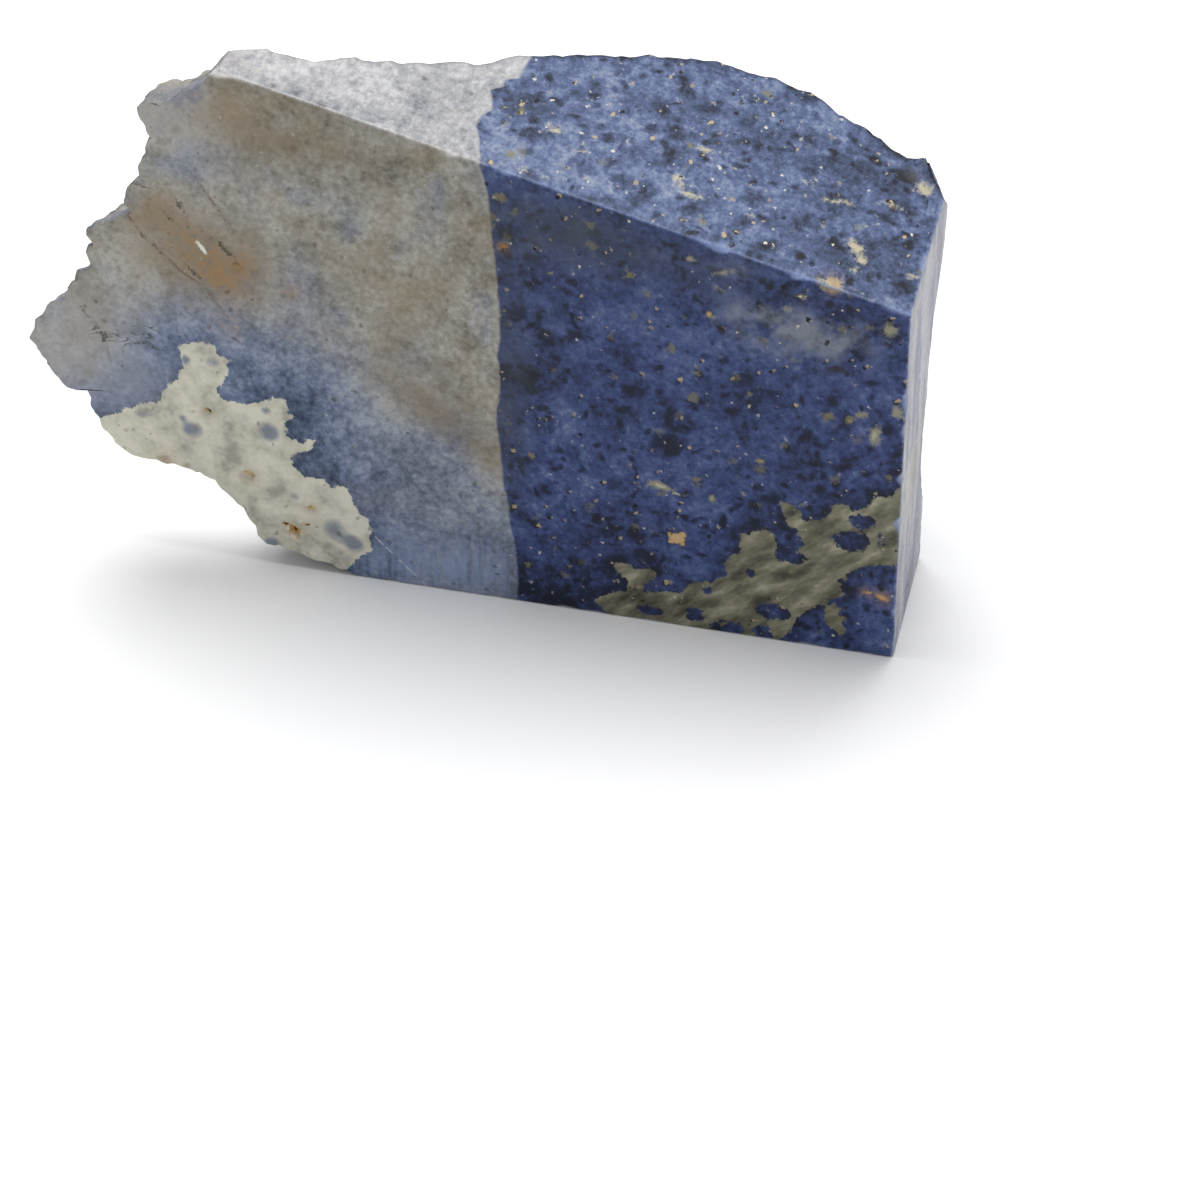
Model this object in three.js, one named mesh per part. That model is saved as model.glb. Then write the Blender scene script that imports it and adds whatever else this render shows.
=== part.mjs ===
// Rough dumortierite: one heavy piece of blue rock, sawn flat on its front, right
// side, base and sloping top, and left as it broke on its back and left rim.
// Millimetres, +Z up. The piece stands on its sawn base, the sawn front faces
// -Y and the sawn right side faces +X. The origin is the middle of the box
// around the piece, at the height of the base.
import * as THREE from "three";

// Driving dimensions. Until the last step they are measured from the corner where
// the front, the right side and the base meet: x to the right, y into the stone, z up.
const BASE_LENGTH = 96; // front edge of the sawn base
const RIGHT_HEIGHT = 69.4; // front edge of the sawn right side
const TOP_LEFT = [-116.1, 98.3]; // where the top edge of the front face ends
const RIGHT_LEAN_Z = 0.0118; // the right side leans in by this much per mm of height
const RIGHT_LEAN_Y = 0.0237; // and by this much per mm of depth

// The broken left edge of the front face, from the base up to the top edge [x, z].
const LEFT_EDGE = [
  [-BASE_LENGTH, 0], [-98.5, 1.2], [-104.3, 1.8], [-107.7, 3.6], [-113.3, 4.5], [-114.8, 6.8],
  [-116.8, 11.3], [-121.3, 15.7], [-124.7, 17.7], [-130.7, 19], [-137.4, 19.7], [-140, 21.5],
  [-142.5, 24.9], [-144.2, 28.4], [-144.7, 31.3], [-147.5, 31.9], [-149.9, 33.8], [-152.9, 38.3],
  [-154, 42], [-152.3, 45.6], [-147.7, 50], [-144, 54.3], [-141.7, 57], [-141.5, 60],
  [-140.6, 62.1], [-141.5, 64.3], [-138.9, 65.5], [-133.7, 69.3], [-134.3, 70.8], [-132.4, 74.1],
  [-130.6, 79.3], [-128, 84.2], [-130.3, 87.4], [-130.5, 90], [-125.4, 90.9], [-122.4, 92.2],
  [-118.9, 95.2], TOP_LEFT,
];

// How deep the stone is behind each edge of the front face.
const TOP_DEPTH = [ // [x, depth]
  [-118, 3], [-110, 9], [-101, 14.5], [-88, 22.2], [-79, 30], [-69, 39.7], [-58, 46.2],
  [-55.5, 49.4], [-44, 54.4], [-34, 55.8], [-27, 55.2], [-15, 49.2], [-6, 45.4], [-0.8, 37.3],
];
const RIGHT_DEPTH = [ // [z, depth]
  [0, 30], [13, 29.3], [19, 26.2], [30, 24], [37, 28.6], [45, 28.8], [50, 31.5], [56, 39],
  [65, 43.6], [69.4, 37.3],
];
const BASE_DEPTH = [ // [x, depth]
  [-96, 14], [-88, 22], [-78, 31], [-62, 37.5], [-48, 39.5], [-30, 36.5], [-14, 32.5], [0, 30],
];
const LEFT_DEPTH = [ // [share of the left edge's length from the base, depth]
  [0, 14], [0.12, 11], [0.3, 7.5], [0.45, 5.5], [0.7, 4.8], [0.9, 4], [1, 3],
];

// The broken back: how far it swells behind those edges, how fast it swells
// inside the thin left rim, and the flat breaks that bound the swelling.
const BACK_SWELL = 15;
const RIM_SWELL = 10;
const RIM_WIDTH = 0.06; // share of the width
const RIM_TUCK = -2.4; // the rim's own wall tucks under the lobe by this much at the base
const RIM_BULGE = 0.8; // and stands out by this much at the top
const RIM_LUMPS = 0.3; // share of the back's lumps that the wall has
const EDGE_MARGIN = 0.12; // share of the width or height over which the swelling starts
const BREAKS = [ // [x, z, depth there, slope along x, slope along z]
  [-118, 60, 26, 0.5, -0.15],
  [-92, 76, 33, 0.6, 0.2],
  [-92, 34, 38, 0.5, 0.25],
  [-62, 20, 45.5, 0.12, 0.5],
  [-62, 62, 52, 0.25, -0.1],
  [-30, 46, 51, -0.42, 0.22],
  [-20, 18, 38, -0.25, 0.35],
];
const LEDGE_STEP = 19; // mm from one ledge of the back to the next
const LEDGE_DEPTH = 3;
const LEDGE_STEEP = 0.16; // share of a step that the steep side takes
const LEAST_DEPTH = 0.8; // share of the depth behind the edges that is left everywhere
const SPUR = { x: -4.4, y: 43.5, height: 2.2, width: 2, from: 0.93 }; // snapped spur, back right

const COLUMNS = 40; // steps along the width
const LAYERS = 8; // steps from front to back

const mix = (a, b, share) => a + (b - a) * share;
const smooth = (share) => {
  const t = Math.min(1, Math.max(0, share));
  return t * t * (3 - 2 * t);
};

// The value of a list of [place, value] points at a place, on straight lines between them.
function follow(points, place) {
  if (place <= points[0][0]) return points[0][1];
  for (let i = 1; i < points.length; i++) {
    const [from, low] = points[i - 1];
    const [to, high] = points[i];
    if (place <= to) return mix(low, high, (place - from) / (to - from));
  }
  return points.at(-1)[1];
}

// Shares of the left edge's length at which its points lie, and its x and z against them.
const edgeShares = [0];
for (let i = 1; i < LEFT_EDGE.length; i++) {
  const [x, z] = LEFT_EDGE[i];
  const [fromX, fromZ] = LEFT_EDGE[i - 1];
  edgeShares.push(edgeShares[i - 1] + Math.hypot(x - fromX, z - fromZ));
}
const edgeLength = edgeShares.at(-1);
edgeShares.forEach((along, i) => (edgeShares[i] = along / edgeLength));
const leftX = LEFT_EDGE.map(([x], i) => [edgeShares[i], x]);
const leftZ = LEFT_EDGE.map(([, z], i) => [edgeShares[i], z]);

// A point of the flat front face, at shares s of the width and t of the height. The top
// and the base are straight, so it lies on a straight line from the left edge to the right.
function front(s, t) {
  return [
    mix(follow(leftX, t), -RIGHT_LEAN_Z * RIGHT_HEIGHT * t, s),
    mix(follow(leftZ, t), RIGHT_HEIGHT * t, s),
  ];
}

// Uneven lumps of a broken surface, a few millimetres high, from crossing waves.
function lumps(x, z) {
  const bend = 2.4 * Math.sin(0.11 * x + 0.07 * z);
  return (
    1.1 * Math.sin(0.19 * x + 0.1 * z + bend) +
    0.9 * Math.sin(0.31 * z - 0.13 * x + 1.7) +
    0.7 * Math.sin(0.42 * x + 0.23 * z - bend) +
    0.5 * Math.sin(0.55 * z - 0.37 * x + 0.6 + bend)
  );
}

// Ledges that run up the back at a slant, each one steep on one side.
function ledges(x, z) {
  const bend = 5 * Math.sin(0.07 * x - 0.05 * z) + 2.5 * Math.sin(0.16 * x + 0.12 * z + 1);
  const along = (0.55 * x + z + bend) / LEDGE_STEP;
  const share = along - Math.floor(along);
  const rise = 1 - LEDGE_STEEP;
  return LEDGE_DEPTH * (share < rise ? share / rise : (1 - share) / LEDGE_STEEP);
}

// How deep the stone is behind the point (s, t) of the front face: the depths
// behind the four edges are blended like the edges, then the back swells
// between them, the flat breaks cut the swelling down, and a least depth is kept.
function depth(s, t) {
  const [x, z] = front(s, t);
  const above = follow(TOP_DEPTH, front(s, 1)[0]);
  const below = follow(BASE_DEPTH, front(s, 0)[0]);
  const left = follow(LEFT_DEPTH, t);
  const right = follow(RIGHT_DEPTH, RIGHT_HEIGHT * t);
  const corners = mix(mix(BASE_DEPTH[0][1], RIGHT_DEPTH[0][1], s),
    mix(LEFT_DEPTH.at(-1)[1], RIGHT_DEPTH.at(-1)[1], s), t);
  const edges = mix(below, above, t) + mix(left, right, s) - corners;
  const inside = smooth(s / RIM_WIDTH) * smooth((1 - s) / EDGE_MARGIN) *
    smooth(t / EDGE_MARGIN) * smooth((1 - t) / EDGE_MARGIN);
  const swell = BACK_SWELL * Math.sin(Math.PI * s) * Math.sin(Math.PI * t);
  const rim = RIM_SWELL * (1 - s) * Math.sin(Math.PI * t);
  let deep = edges + inside * (swell + rim);
  for (const [atX, atZ, there, slopeX, slopeZ] of BREAKS) {
    const plane = there + slopeX * (x - atX) + slopeZ * (z - atZ);
    deep = mix(deep, Math.min(deep, plane), inside);
  }
  return Math.max(deep + inside * (lumps(x, z) - ledges(x, z)), LEAST_DEPTH * edges);
}

// How far the snapped spur stands above the sawn top at its back right corner.
function spur(x, y) {
  const away = (x - SPUR.x) ** 2 + (y - SPUR.y) ** 2;
  return SPUR.height * Math.exp(-away / (2 * SPUR.width ** 2));
}

// A point of the stone's skin: s from left to right, t from base to top, d from front to back.
function skin(s, t, d) {
  const [x, z] = front(s, t);
  const y = d * depth(s, t);
  const nearRim = (1 - smooth(s / RIM_WIDTH)) * Math.sqrt(Math.abs(Math.sin(Math.PI * t)));
  const bulge = nearRim * d * (mix(RIM_TUCK, RIM_BULGE, t) + RIM_LUMPS * lumps(3 * z, z));
  const raised = smooth((t - SPUR.from) / (1 - SPUR.from)) * spur(x, y);
  return new THREE.Vector3(x - bulge - RIGHT_LEAN_Y * y * s, y, z + raised);
}

const corners = [];

// A sheet of the skin between two lists of shares; turned swaps which way it faces.
function sheet(us, vs, at, turned) {
  for (let i = 1; i < us.length; i++) {
    for (let j = 1; j < vs.length; j++) {
      const a = at(us[i - 1], vs[j - 1]);
      const b = at(us[i], vs[j - 1]);
      const c = at(us[i], vs[j]);
      const d = at(us[i - 1], vs[j]);
      corners.push(...(turned ? [a, c, b, a, d, c] : [a, b, c, a, c, d]));
    }
  }
}

// A sawn face: triangles from one point inside it to the loop of points around it.
function sawnFace(middle, loop) {
  loop.forEach((point, i) => corners.push(middle, point, loop[(i + 1) % loop.length]));
}

const steps = (count) => Array.from({ length: count + 1 }, (_, i) => i / count);
const across = steps(COLUMNS);
const inward = steps(LAYERS);
const upward = edgeShares;

// The edges of a sawn face in turn, each without its last point.
const ring = (...edges) => edges.flatMap((edge) => edge.slice(0, -1));
const backwards = (shares) => [...shares].reverse();

// The broken back and left rim, and the top with its spur.
sheet(across, upward, (s, t) => skin(s, t, 1), true);
sheet(upward, inward, (t, d) => skin(0, t, d), false);
sheet(across, inward, (s, d) => skin(s, 1, d), false);

// The sawn front, base and right side.
sawnFace(new THREE.Vector3(-70, 0, 45), ring(
  across.map((s) => skin(s, 0, 0)),
  upward.map((t) => skin(1, t, 0)),
  backwards(across).map((s) => skin(s, 1, 0)),
  backwards(upward).map((t) => skin(0, t, 0)),
));
sawnFace(new THREE.Vector3(-45, 16, 0), ring(
  inward.map((d) => skin(0, 0, d)),
  across.map((s) => skin(s, 0, 1)),
  backwards(inward).map((d) => skin(1, 0, d)),
  backwards(across).map((s) => skin(s, 0, 0)),
));
const sideY = 14;
const sideZ = 40;
const sideX = -RIGHT_LEAN_Z * sideZ - RIGHT_LEAN_Y * sideY;
sawnFace(new THREE.Vector3(sideX, sideY, sideZ), ring(
  inward.map((d) => skin(1, 0, d)),
  upward.map((t) => skin(1, t, 1)),
  backwards(inward).map((d) => skin(1, 1, d)),
  backwards(upward).map((t) => skin(1, t, 0)),
));

const geometry = new THREE.BufferGeometry().setFromPoints(corners);
geometry.computeBoundingBox();
const box = geometry.boundingBox;
geometry.translate(-(box.min.x + box.max.x) / 2, -(box.min.y + box.max.y) / 2, -box.min.z);
geometry.computeVertexNormals();

const stone = new THREE.Mesh(
  geometry,
  new THREE.MeshStandardMaterial({ color: 0x4a5f8f, roughness: 0.5, metalness: 0 }),
);
stone.name = "stone";

const group = new THREE.Group();
group.add(stone);
export default group;
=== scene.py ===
import math

import bpy
import numpy as np
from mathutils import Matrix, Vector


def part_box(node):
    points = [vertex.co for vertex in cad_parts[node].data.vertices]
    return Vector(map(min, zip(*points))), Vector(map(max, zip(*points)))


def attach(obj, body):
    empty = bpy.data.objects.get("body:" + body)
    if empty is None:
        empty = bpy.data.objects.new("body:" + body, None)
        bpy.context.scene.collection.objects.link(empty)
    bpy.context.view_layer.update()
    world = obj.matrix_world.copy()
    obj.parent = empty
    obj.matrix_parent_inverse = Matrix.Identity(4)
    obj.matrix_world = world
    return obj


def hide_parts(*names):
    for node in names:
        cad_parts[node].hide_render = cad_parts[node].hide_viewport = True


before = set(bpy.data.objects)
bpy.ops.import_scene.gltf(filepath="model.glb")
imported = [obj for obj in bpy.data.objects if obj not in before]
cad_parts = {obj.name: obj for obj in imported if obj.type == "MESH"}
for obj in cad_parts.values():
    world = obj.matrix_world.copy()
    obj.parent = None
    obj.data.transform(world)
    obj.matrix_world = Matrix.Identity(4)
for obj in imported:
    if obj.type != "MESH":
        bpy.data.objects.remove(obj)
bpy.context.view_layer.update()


# Camera. The lens is the one whose perspective the stone was measured in; the camera looks
# down at the front face from a little to its right. Its place is given in mm from the corner
# where the front, the right side and the base meet, like every size of the stone below.
MM = 0.001
box_low, box_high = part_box("stone")
CORNER = np.array([box_high.x, box_low.y, 0.0])
CAMERA_FROM_CORNER = np.array([63.9, -459.3, 359.9])
CAMERA_DOWN = 37.0
CAMERA_TURN = 14.17
SENSOR_WIDTH = 36.0
FOCAL_LENGTH = 102.0

camera_data = bpy.data.cameras.new("camera")
camera_data.sensor_width = SENSOR_WIDTH
camera_data.lens = FOCAL_LENGTH
camera_data.clip_start = 0.01
camera = bpy.data.objects.new("camera", camera_data)
camera.location = CORNER + CAMERA_FROM_CORNER * MM
camera.rotation_euler = (math.radians(90.0 - CAMERA_DOWN), 0.0, math.radians(CAMERA_TURN))
bpy.context.scene.collection.objects.link(camera)
bpy.context.scene.camera = camera


# Studio. A plain pale floor, an even pale surround and one wide soft lamp overhead, which
# lights the top of the stone about twice as strongly as its upright front.
def linear(colour):
    """The linear red, green, blue and alpha of an sRGB hex colour such as "8090a0"."""
    parts = [int(colour[i:i + 2], 16) / 255.0 for i in (0, 2, 4)]
    return [p / 12.92 if p <= 0.04045 else ((p + 0.055) / 1.055) ** 2.4 for p in parts] + [1.0]


def add(tree, kind, inputs=None, stops=None, **settings):
    """Adds a node. inputs maps sockets to values or to the outputs linked to them, and
    stops gives a colour ramp's [place, colour] pairs."""
    made = tree.nodes.new(kind)
    for name, value in settings.items():
        setattr(made, name, value)
    if stops:
        ramp = made.color_ramp
        while len(ramp.elements) < len(stops):
            ramp.elements.new(0.5)
        for element, (place, colour) in zip(ramp.elements, stops):
            element.position = place
            element.color = linear(colour)
    for socket, value in (inputs or {}).items():
        if isinstance(value, bpy.types.NodeSocket):
            tree.links.new(value, made.inputs[socket])
        else:
            made.inputs[socket].default_value = value
    return made


FLOOR_SIZE = 6.0
floor_mesh = bpy.data.meshes.new("floor")
half = FLOOR_SIZE / 2
floor_mesh.from_pydata(
    [(-half, -half, 0), (half, -half, 0), (half, half, 0), (-half, half, 0)], [], [(0, 1, 2, 3)])
floor = bpy.data.objects.new("floor", floor_mesh)
bpy.context.scene.collection.objects.link(floor)

paper = bpy.data.materials.new("matt_white_paper")
paper.use_nodes = True
paper_shader = paper.node_tree.nodes["Principled BSDF"]
paper_shader.inputs["Base Color"].default_value = linear("f4f4f4")
paper_shader.inputs["Roughness"].default_value = 0.9
paper_shader.inputs["Specular IOR Level"].default_value = 0.1
floor_mesh.materials.append(paper)

SURROUND_STRENGTH = 0.42
world = bpy.data.worlds.new("studio")
world.use_nodes = True
world.node_tree.nodes["Background"].inputs["Color"].default_value = linear("fbfcff")
world.node_tree.nodes["Background"].inputs["Strength"].default_value = SURROUND_STRENGTH
bpy.context.scene.world = world

LAMP_POWER = 22.0
LAMP_WIDTH = 1.1
lamp_data = bpy.data.lights.new("overhead", "AREA")
lamp_data.shape = "SQUARE"
lamp_data.size = LAMP_WIDTH
lamp_data.energy = LAMP_POWER
lamp = bpy.data.objects.new("overhead", lamp_data)
lamp.location = (-0.15, 0.35, 1.2)
lamp.rotation_euler = (math.radians(-16.0), math.radians(-7.0), 0.0)
bpy.context.scene.collection.objects.link(lamp)

bpy.context.scene.view_settings.view_transform = "Standard"


# The stone. A heavy piece of dumortierite rock: the front, the right side, the base and the
# sloping top are flat saw cuts with chipped edges, and the back and the thin left rim are
# left as they broke. Sizes are in mm from the corner where front, right side and base meet.
BASE_LENGTH = 96.0
RIGHT_HEIGHT = 69.4
TOP_LEFT = (-116.1, 98.3)
RIGHT_LEAN_Z = 0.0118
RIGHT_LEAN_Y = 0.0237
LEFT_EDGE = np.array([
    (-96, 0), (-98.5, 1.2), (-104.3, 1.8), (-107.7, 3.6), (-113.3, 4.5), (-114.8, 6.8),
    (-116.8, 11.3), (-121.3, 15.7), (-124.7, 17.7), (-130.7, 19), (-137.4, 19.7), (-140, 21.5),
    (-142.5, 24.9), (-144.2, 28.4), (-144.7, 31.3), (-147.5, 31.9), (-149.9, 33.8),
    (-152.9, 38.3), (-154, 42), (-152.3, 45.6), (-147.7, 50), (-144, 54.3), (-141.7, 57),
    (-141.5, 60), (-140.6, 62.1), (-141.5, 64.3), (-138.9, 65.5), (-133.7, 69.3),
    (-134.3, 70.8), (-132.4, 74.1), (-130.6, 79.3), (-128, 84.2), (-130.3, 87.4), (-130.5, 90),
    (-125.4, 90.9), (-122.4, 92.2), (-118.9, 95.2), TOP_LEFT])
TOP_DEPTH = np.array([  # x, depth; RIGHT_DEPTH has z, depth and BASE_DEPTH x, depth
    (-118, 4), (-115.5, 6.6), (-112, 9), (-108, 11), (-101, 14.5), (-88, 22.2), (-79, 30),
    (-69, 39.7), (-58, 46.2), (-55.5, 49.4), (-44, 54.4), (-34, 55.8), (-27, 55.2), (-15, 49.2),
    (-6, 45.4), (-0.8, 37.3)])
RIGHT_DEPTH = np.array([
    (0, 30), (13, 29.3), (19, 26.2), (30, 24), (37, 28.6), (45, 28.8), (50, 31.5), (56, 39),
    (65, 43.6), (69.4, 37.3)])
BASE_DEPTH = np.array([
    (-96, 14), (-88, 22), (-78, 31), (-62, 37.5), (-48, 39.5), (-30, 36.5), (-14, 32.5), (0, 30)])
LEFT_DEPTH = np.array([  # share of the left edge's length, depth
    (0, 14), (0.12, 11), (0.3, 7.5), (0.45, 5.5), (0.7, 5), (0.86, 6), (0.95, 5.6), (1, 4)])
BACK_SWELL = 15.0
RIM_SWELL = 10.0
RIM_WIDTH = 0.06
RIM_TUCK_LOW = 2.4
RIM_TUCK_HIGH = 1.6
RIM_LUMPS = 0.3
EDGE_MARGIN = 0.12
BREAKS = (  # x, z, depth there, slopes to the right and up
    (-118, 60, 26, 0.5, -0.15), (-92, 76, 33, 0.6, 0.2), (-92, 34, 38, 0.5, 0.25),
    (-62, 20, 45.5, 0.12, 0.5), (-62, 62, 52, 0.25, -0.1), (-30, 46, 51, -0.42, 0.22),
    (-20, 18, 38, -0.25, 0.35))
LEDGE_STEP = 19.0
LEDGE_DEPTH = 3.0
LEDGE_STEEP = 0.16
LEAST_DEPTH = 0.8
SPUR = (-4.4, 43.5, 2.2, 2.0, 0.93)  # x, y, height, width, share of the height it starts from
CALM = 0.2
CALM_REACH = 0.12
ROW_LIFT = 40.0


def mix(a, b, share):
    """From a to b on a straight line."""
    return a + (b - a) * share


def smooth(share):
    """0 below 0, 1 above 1, and an S curve between."""
    t = np.clip(share, 0.0, 1.0)
    return t * t * (3 - 2 * t)


def follow(points, place):
    """The value of [place, value] points at a place, on straight lines between them."""
    return np.interp(place, points[:, 0], points[:, 1])


def grit(x, y, z, cell, seed):
    """Seeded value noise from -1 to 1: random numbers on a lattice with this cell in mm,
    blended between the eight lattice points around each place along S curves."""
    table = np.random.default_rng(seed).uniform(-1, 1, (32, 32, 32))
    places = np.stack(np.broadcast_arrays(x, y, z), -1) / cell
    whole = np.floor(places).astype(int)
    share = places - whole
    share = share * share * (3 - 2 * share)
    total = 0.0
    for corner in np.ndindex(2, 2, 2):
        weight = np.prod(np.where(corner, share, 1 - share), axis=-1)
        i, j, k = np.moveaxis((whole + corner) % 32, -1, 0)
        total = total + weight * table[i, j, k]
    return total


edge_steps = np.hypot(*np.diff(LEFT_EDGE, axis=0).T)
edge_length = edge_steps.sum()
edge_shares = np.concatenate([[0], np.cumsum(edge_steps)]) / edge_length


def left_edge(t):
    """The front face's broken edge: straight between its points, roughened by fine grit
    that dies out at both ends."""
    fade = smooth(t / 0.04) * smooth((1 - t) / 0.02)
    run = t * edge_length
    x = np.interp(t, edge_shares, LEFT_EDGE[:, 0])
    z = np.interp(t, edge_shares, LEFT_EDGE[:, 1])
    x = x + fade * (0.5 * grit(run, 0, 0, 2.4, 11) + 0.35 * grit(run, 0, 0, 1.1, 12))
    z = z + fade * (0.5 * grit(run, 0, 0, 2.7, 13) + 0.35 * grit(run, 0, 0, 1.2, 14))
    return x, z


def calm_edge(t):
    """The same edge, each point of it averaged with its neighbours up to a share CALM of
    the edge's length away, and less near the ends."""
    stretch = CALM * np.minimum(1, np.minimum(t, 1 - t) / CALM)
    near = [t + stretch * offset for offset in np.linspace(-1, 1, 11)]
    return [np.mean([np.interp(n, edge_shares, values) for n in near], axis=0)
            for values in LEFT_EDGE.T]


def front(s, t):
    """A point of the flat front, at shares s of the width and t of the height, on a straight
    line from the left edge to the right one. Away from the left edge the line starts from
    its calm form, and low down it is lifted a little, so that no two lines cross."""
    rough_x, rough_z = left_edge(t)
    calm_x, calm_z = calm_edge(t)
    fade = np.clip(1 - s / CALM_REACH, 0, 1) ** 2
    x = mix(calm_x, -RIGHT_LEAN_Z * RIGHT_HEIGHT * t, s) + fade * (rough_x - calm_x)
    z = mix(calm_z, RIGHT_HEIGHT * t, s) + fade * (rough_z - calm_z)
    lift = ROW_LIFT * s * (1 - s) ** 7 * smooth(t / 0.12) * smooth((0.52 - t) / 0.3)
    return x, z + lift


def lumps(x, z):
    """Uneven lumps of a few millimetres: four crossing waves, bent by a fifth."""
    bend = 2.4 * np.sin(0.11 * x + 0.07 * z)
    return (1.1 * np.sin(0.19 * x + 0.1 * z + bend) + 0.9 * np.sin(0.31 * z - 0.13 * x + 1.7)
            + 0.7 * np.sin(0.42 * x + 0.23 * z - bend)
            + 0.5 * np.sin(0.55 * z - 0.37 * x + 0.6 + bend))


def ledges(x, z):
    """Slanting ledges: a saw-tooth along bent lines, each tooth steep on one side."""
    bend = 5 * np.sin(0.07 * x - 0.05 * z) + 2.5 * np.sin(0.16 * x + 0.12 * z + 1)
    along = (0.55 * x + z + bend) / LEDGE_STEP
    share = along - np.floor(along)
    rise = 1 - LEDGE_STEEP
    return LEDGE_DEPTH * np.where(share < rise, share / rise, (1 - share) / LEDGE_STEEP)


def hackle(x, z):
    """The small splintery relief of the broken back: grit at four sizes, the larger three
    folded at zero so that they meet in sharp ridges."""
    return (1.5 * (0.5 - np.abs(grit(x, 0, z, 8.0, 21)))
            + 1.0 * (0.5 - np.abs(grit(x, 5, z, 3.8, 22)))
            + 0.5 * (0.5 - np.abs(grit(x, 9, z, 1.9, 23))) + 0.35 * grit(x, 0, z, 1.1, 24))


def depth(s, t):
    """How deep the stone is behind a point of its front: the depths behind the four edges
    are blended as the edges are, the back swells between them, flat breaks cut the swelling
    down, and lumps, ledges and splinters are added."""
    x, z = front(s, t)
    above = follow(TOP_DEPTH, front(s, np.ones_like(t))[0])
    below = follow(BASE_DEPTH, front(s, np.zeros_like(t))[0])
    left = follow(LEFT_DEPTH, t)
    right = follow(RIGHT_DEPTH, RIGHT_HEIGHT * t)
    corners = mix(mix(BASE_DEPTH[0, 1], RIGHT_DEPTH[0, 1], s),
                  mix(LEFT_DEPTH[-1, 1], RIGHT_DEPTH[-1, 1], s), t)
    edges = mix(below, above, t) + mix(left, right, s) - corners
    inside = (smooth(s / RIM_WIDTH) * smooth((1 - s) / EDGE_MARGIN)
              * smooth(t / EDGE_MARGIN) * smooth((1 - t) / EDGE_MARGIN))
    swell = BACK_SWELL * np.sin(np.pi * s) + RIM_SWELL * (1 - s)
    deep = edges + inside * np.sin(np.pi * t) * swell
    for at_x, at_z, there, slope_x, slope_z in BREAKS:
        plane = there + slope_x * (x - at_x) + slope_z * (z - at_z)
        deep = mix(deep, np.minimum(deep, plane), inside)
    deep = np.maximum(deep + inside * (lumps(x, z) - ledges(x, z)), LEAST_DEPTH * edges)
    return deep + hackle(x, z) * mix(1.15, 1.0, inside) - 1.2 * inside - 0.3


def skin(s, t, d):
    """A point of the stone's skin, d being the share of the way from front to back: the
    front's point, moved back by the depth, with the rim's rough wall tucked in under it, the
    right side leaning in and the snapped spur raised above the top."""
    x, z = front(s, t)
    y = d * depth(s, t)
    near_rim = (1 - smooth(s / RIM_WIDTH)) * np.sqrt(np.abs(np.sin(np.pi * t)))
    wall = -mix(RIM_TUCK_LOW, RIM_TUCK_HIGH, t) + RIM_LUMPS * lumps(3 * z, z)
    rough = (1.0 * grit(x, y, z, 3.2, 31) + 0.8 * grit(x, y, z, 1.4, 32)) * smooth(d / 0.12)
    spur_x, spur_y, spur_height, spur_width, spur_from = SPUR
    spur = spur_height * np.exp(-((x - spur_x) ** 2 + (y - spur_y) ** 2) / (2 * spur_width ** 2))
    spur = spur * (1 + 0.7 * grit(x, y, 0, 1.3, 33))
    raised = smooth((t - spur_from) / (1 - spur_from)) * spur
    x = x - near_rim * (d * wall + rough) - RIGHT_LEAN_Y * y * s
    return np.stack([x, y, z + raised], -1)


def shares(count, margin, rings):
    """Shares from 0 to 1: even steps between two margins, with rings close to each end
    that hold the worn edges."""
    near = np.array([0.0, *rings])
    return np.concatenate([near, np.linspace(margin, 1 - margin, count), 1 - near[::-1]])


ACROSS = shares(156, 0.012, (0.0025, 0.006))
UPWARD = shares(206, 0.012, (0.003, 0.007))
INWARD = shares(28, 0.05, (0.008, 0.022))


def box_sheet(us, vs, place, turned):
    """The shares (s, t, d) of a grid over one side of the stone, and its four-cornered
    faces; place puts the grid's two shares and the fixed third in order."""
    u, v = np.meshgrid(us, vs, indexing="ij")
    spots = np.stack(place(u, v, np.ones_like(u)), -1).reshape(-1, 3)
    number = np.arange(u.size).reshape(u.shape)
    quads = np.stack([number[:-1, :-1], number[1:, :-1], number[1:, 1:], number[:-1, 1:]], -1)
    quads = quads.reshape(-1, 4)
    return spots, quads[:, ::-1] if turned else quads


sheets = (
    box_sheet(ACROSS, UPWARD, lambda u, v, one: (u, v, 0 * one), False),
    box_sheet(ACROSS, UPWARD, lambda u, v, one: (u, v, one), True),
    box_sheet(ACROSS, INWARD, lambda u, v, one: (u, one, v), False),
    box_sheet(ACROSS, INWARD, lambda u, v, one: (u, 0 * one, v), True),
    box_sheet(UPWARD, INWARD, lambda u, v, one: (0 * one, u, v), False),
    box_sheet(UPWARD, INWARD, lambda u, v, one: (one, u, v), True),
)
first = np.cumsum([0] + [len(spots) for spots, _ in sheets])
all_spots = np.concatenate([spots for spots, _ in sheets])
all_quads = np.concatenate([quads + start for (_, quads), start in zip(sheets, first)])
spots, where = np.unique(all_spots, axis=0, return_inverse=True)
quads = where.reshape(-1)[all_quads]
s, t, d = spots.T
points = skin(s, t, d)

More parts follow.
